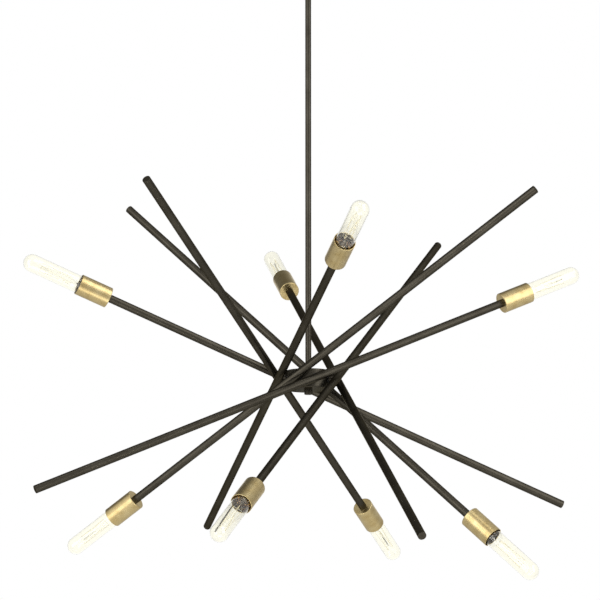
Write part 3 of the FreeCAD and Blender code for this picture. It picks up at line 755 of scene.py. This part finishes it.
circle = add(cage, "ShaderNodeCombineXYZ", {
    "X": add(cage, MATH, {0: cosine, 1: sizes["Coil"]}, operation="MULTIPLY"),
    "Y": add(cage, MATH, {0: sine, 1: sizes["Coil"]}, operation="MULTIPLY")})
coil = add(cage, "GeometryNodeSetPosition", {"Geometry": fine, "Offset": circle})
wire_radius = add(cage, MATH, {0: sizes["Wire"], 1: 2.0}, operation="DIVIDE")
section = add(cage, "GeometryNodeCurvePrimitiveCircle", {
    "Resolution": FILAMENT_SIDES, "Radius": wire_radius})
drawn = add(cage, "GeometryNodeCurveToMesh", {
    "Curve": coil, "Profile Curve": section, "Fill Caps": True})
close_tree(cage, drawn, sizes["Material"])

for arm in ARMS:
    filament = grow(cage, "filament", filament_painted_glow, Radius=CAGE_R, Low=cage_low, High=cage_high,
                    Runs=float(CAGE_RUNS), Coil=COIL_R, Pitch=COIL_PITCH, Wire=FILAMENT_WIRE)
    carry(filament, "filament_%d" % arm, places[arm], "bulb_%d" % arm, filament_painted_glow)
print("filament: %d faces in each bulb" % len(filament.polygons))

# %% [markdown]
# ## Studio
# A white studio with plain soft light. The camera sees a white world, also through glass,
# and diffuse light gets a lower level. Metal sees a simple room: one level all round, with
# a white wall at the front left, a dark part above the backdrop and the white backdrop
# itself. Those areas follow the way that a ray leaves the metal, and not the camera.

# %% World
STUDIO_LEVEL = 0.3            # for diffuse light
ROOM_LEVEL = 0.58             # seen in metal, away from the areas below
# Where metal sees something else: the way to it, the cosines of its soft edge, its level
REFLECTED = (
    ((-0.7, -0.7, -0.1), 0.45, 0.75, 0.95),      # white wall at the front left
    ((-0.37, 0.7, 0.62), 0.7, 0.88, 0.15),       # dark room above the backdrop
    ((0.0, 1.0, 0.0), 0.8, 0.95, 1.0))           # white backdrop


def studio_world():
    """A world that is white to camera and glass, a simple room to metal, and dim elsewhere."""
    world = bpy.data.worlds.new("studio")
    world.use_nodes = True
    tree = world.node_tree
    tree.nodes.clear()
    rays = add(tree, "ShaderNodeLightPath").outputs
    way = add(tree, "ShaderNodeTexCoord").outputs["Generated"]
    mirrored = ROOM_LEVEL
    for aim, edge, full, level in REFLECTED:
        nearness = add(tree, "ShaderNodeVectorMath", {0: way, 1: aim}, operation="DOT_PRODUCT")
        mirrored = add(tree, "ShaderNodeMapRange", {
            "Value": nearness.outputs["Value"], "From Min": edge, "From Max": full,
            "To Min": mirrored, "To Max": level})
    lit = add(tree, "ShaderNodeMapRange", {
        "Value": rays["Is Glossy Ray"], "To Min": STUDIO_LEVEL, "To Max": mirrored})
    seen = add(tree, MATH, {
        0: rays["Is Camera Ray"], 1: rays["Is Transmission Ray"]}, operation="MAXIMUM")
    strength = add(tree, "ShaderNodeMapRange", {"Value": seen, "To Min": lit, "To Max": 1.0})
    light = add(tree, "ShaderNodeBackground", {"Color": WHITE, "Strength": strength})
    add(tree, "ShaderNodeOutputWorld", {"Surface": light})
    return world


bpy.context.scene.world = studio_world()
bpy.context.scene.view_settings.view_transform = "Standard"
print("world: %.2f for diffuse light, %d areas seen in metal" % (STUDIO_LEVEL, len(REFLECTED)))

# %% [markdown]
# ## Softboxes
# Two tall softboxes stand at the left and right of the camera, one hangs at the high
# right, one overhead, and a small one lies low. They were placed by working back from the
# bands of light on the cups. A softbox's power grows with its area, so that each looks
# about equally bright, whatever its size.

# %% Softboxes
BOX_LEVEL = 2.0               # how bright a softbox looks in a mirror
# Place from the middle of the drum, width and height in metres, and share of BOX_LEVEL
SOFTBOXES = {
    "left_box": ((-3.7, -4.0, -0.3), 3.4, 7.5, 0.85),
    "right_box": ((4.3, -3.5, 1.75), 3.4, 7.5, 1.0),
    "high_right_box": ((3.7, -1.0, 4.6), 1.8, 1.8, 1.0),
    "top_box": ((-0.1, -2.6, 5.4), 2.4, 1.2, 1.0),
    "low_box": ((0.1, -1.5, -1.65), 1.6, 0.8, 0.8)}


def softbox(name, centre, target, width, height, level):
    """A soft rectangular lamp at a point, turned towards a target."""
    lamp = bpy.data.lights.new(name, "AREA")
    lamp.shape, lamp.size, lamp.size_y = "RECTANGLE", width, height
    lamp.energy = level * math.pi * width * height
    holder = bpy.data.objects.new(name, lamp)
    holder.visible_camera = False
    holder.location = centre
    holder.rotation_euler = (target - centre).to_track_quat("-Z", "Y").to_euler()
    bpy.context.scene.collection.objects.link(holder)


middle = Vector((0, 0, drum_middle))
for name, (offset, width, height, share_of_level) in SOFTBOXES.items():
    softbox(name, middle + Vector(offset), middle, width, height, BOX_LEVEL * share_of_level)
print("softboxes:", len(SOFTBOXES))

# %% [markdown]
# ## Floor
# The pale floor lies as deep as in a high hall, so that low views still stand above it.
# It keeps the lamp's faint shadow. It adds a little light of its own only where metal
# mirrors it or the camera sees it, also through glass, so none of that falls on the lamp
# as diffuse light.

# %% Floor
FLOOR_Z = -3.2
FLOOR_HALF = 40.0
FLOOR_LIFT, FLOOR_WHITE = 0.25, 0.6      # added where metal shows it, and where the camera does
CORNERS = ((-1, -1), (1, -1), (1, 1), (-1, 1))

floor_mesh = bpy.data.meshes.new("floor")
floor_mesh.from_pydata([(x * FLOOR_HALF, y * FLOOR_HALF, FLOOR_Z) for x, y in CORNERS],
                       [], [(0, 1, 2, 3)])
floor = bpy.data.objects.new("floor", floor_mesh)
bpy.context.scene.collection.objects.link(floor)
floor_paint, paint_tree, floor_shader = new_material(
    "pale_floor", Base_Color=linear("#F2F1EE"), Emission_Color=WHITE, Roughness=0.9)
rays = add(paint_tree, "ShaderNodeLightPath").outputs
seen = add(paint_tree, MATH, {
    0: rays["Is Camera Ray"], 1: rays["Is Transmission Ray"]}, operation="MAXIMUM")
white = add(paint_tree, MATH, {0: seen, 1: FLOOR_WHITE}, operation="MULTIPLY")
glow = add(paint_tree, MATH, {
    0: rays["Is Glossy Ray"], 1: FLOOR_LIFT, 2: white}, operation="MULTIPLY_ADD")
paint_tree.links.new(glow.outputs[0], floor_shader.inputs["Emission Strength"])
floor_mesh.materials.append(floor_paint)
print("floor: %.1f m below the ceiling" % -FLOOR_Z)
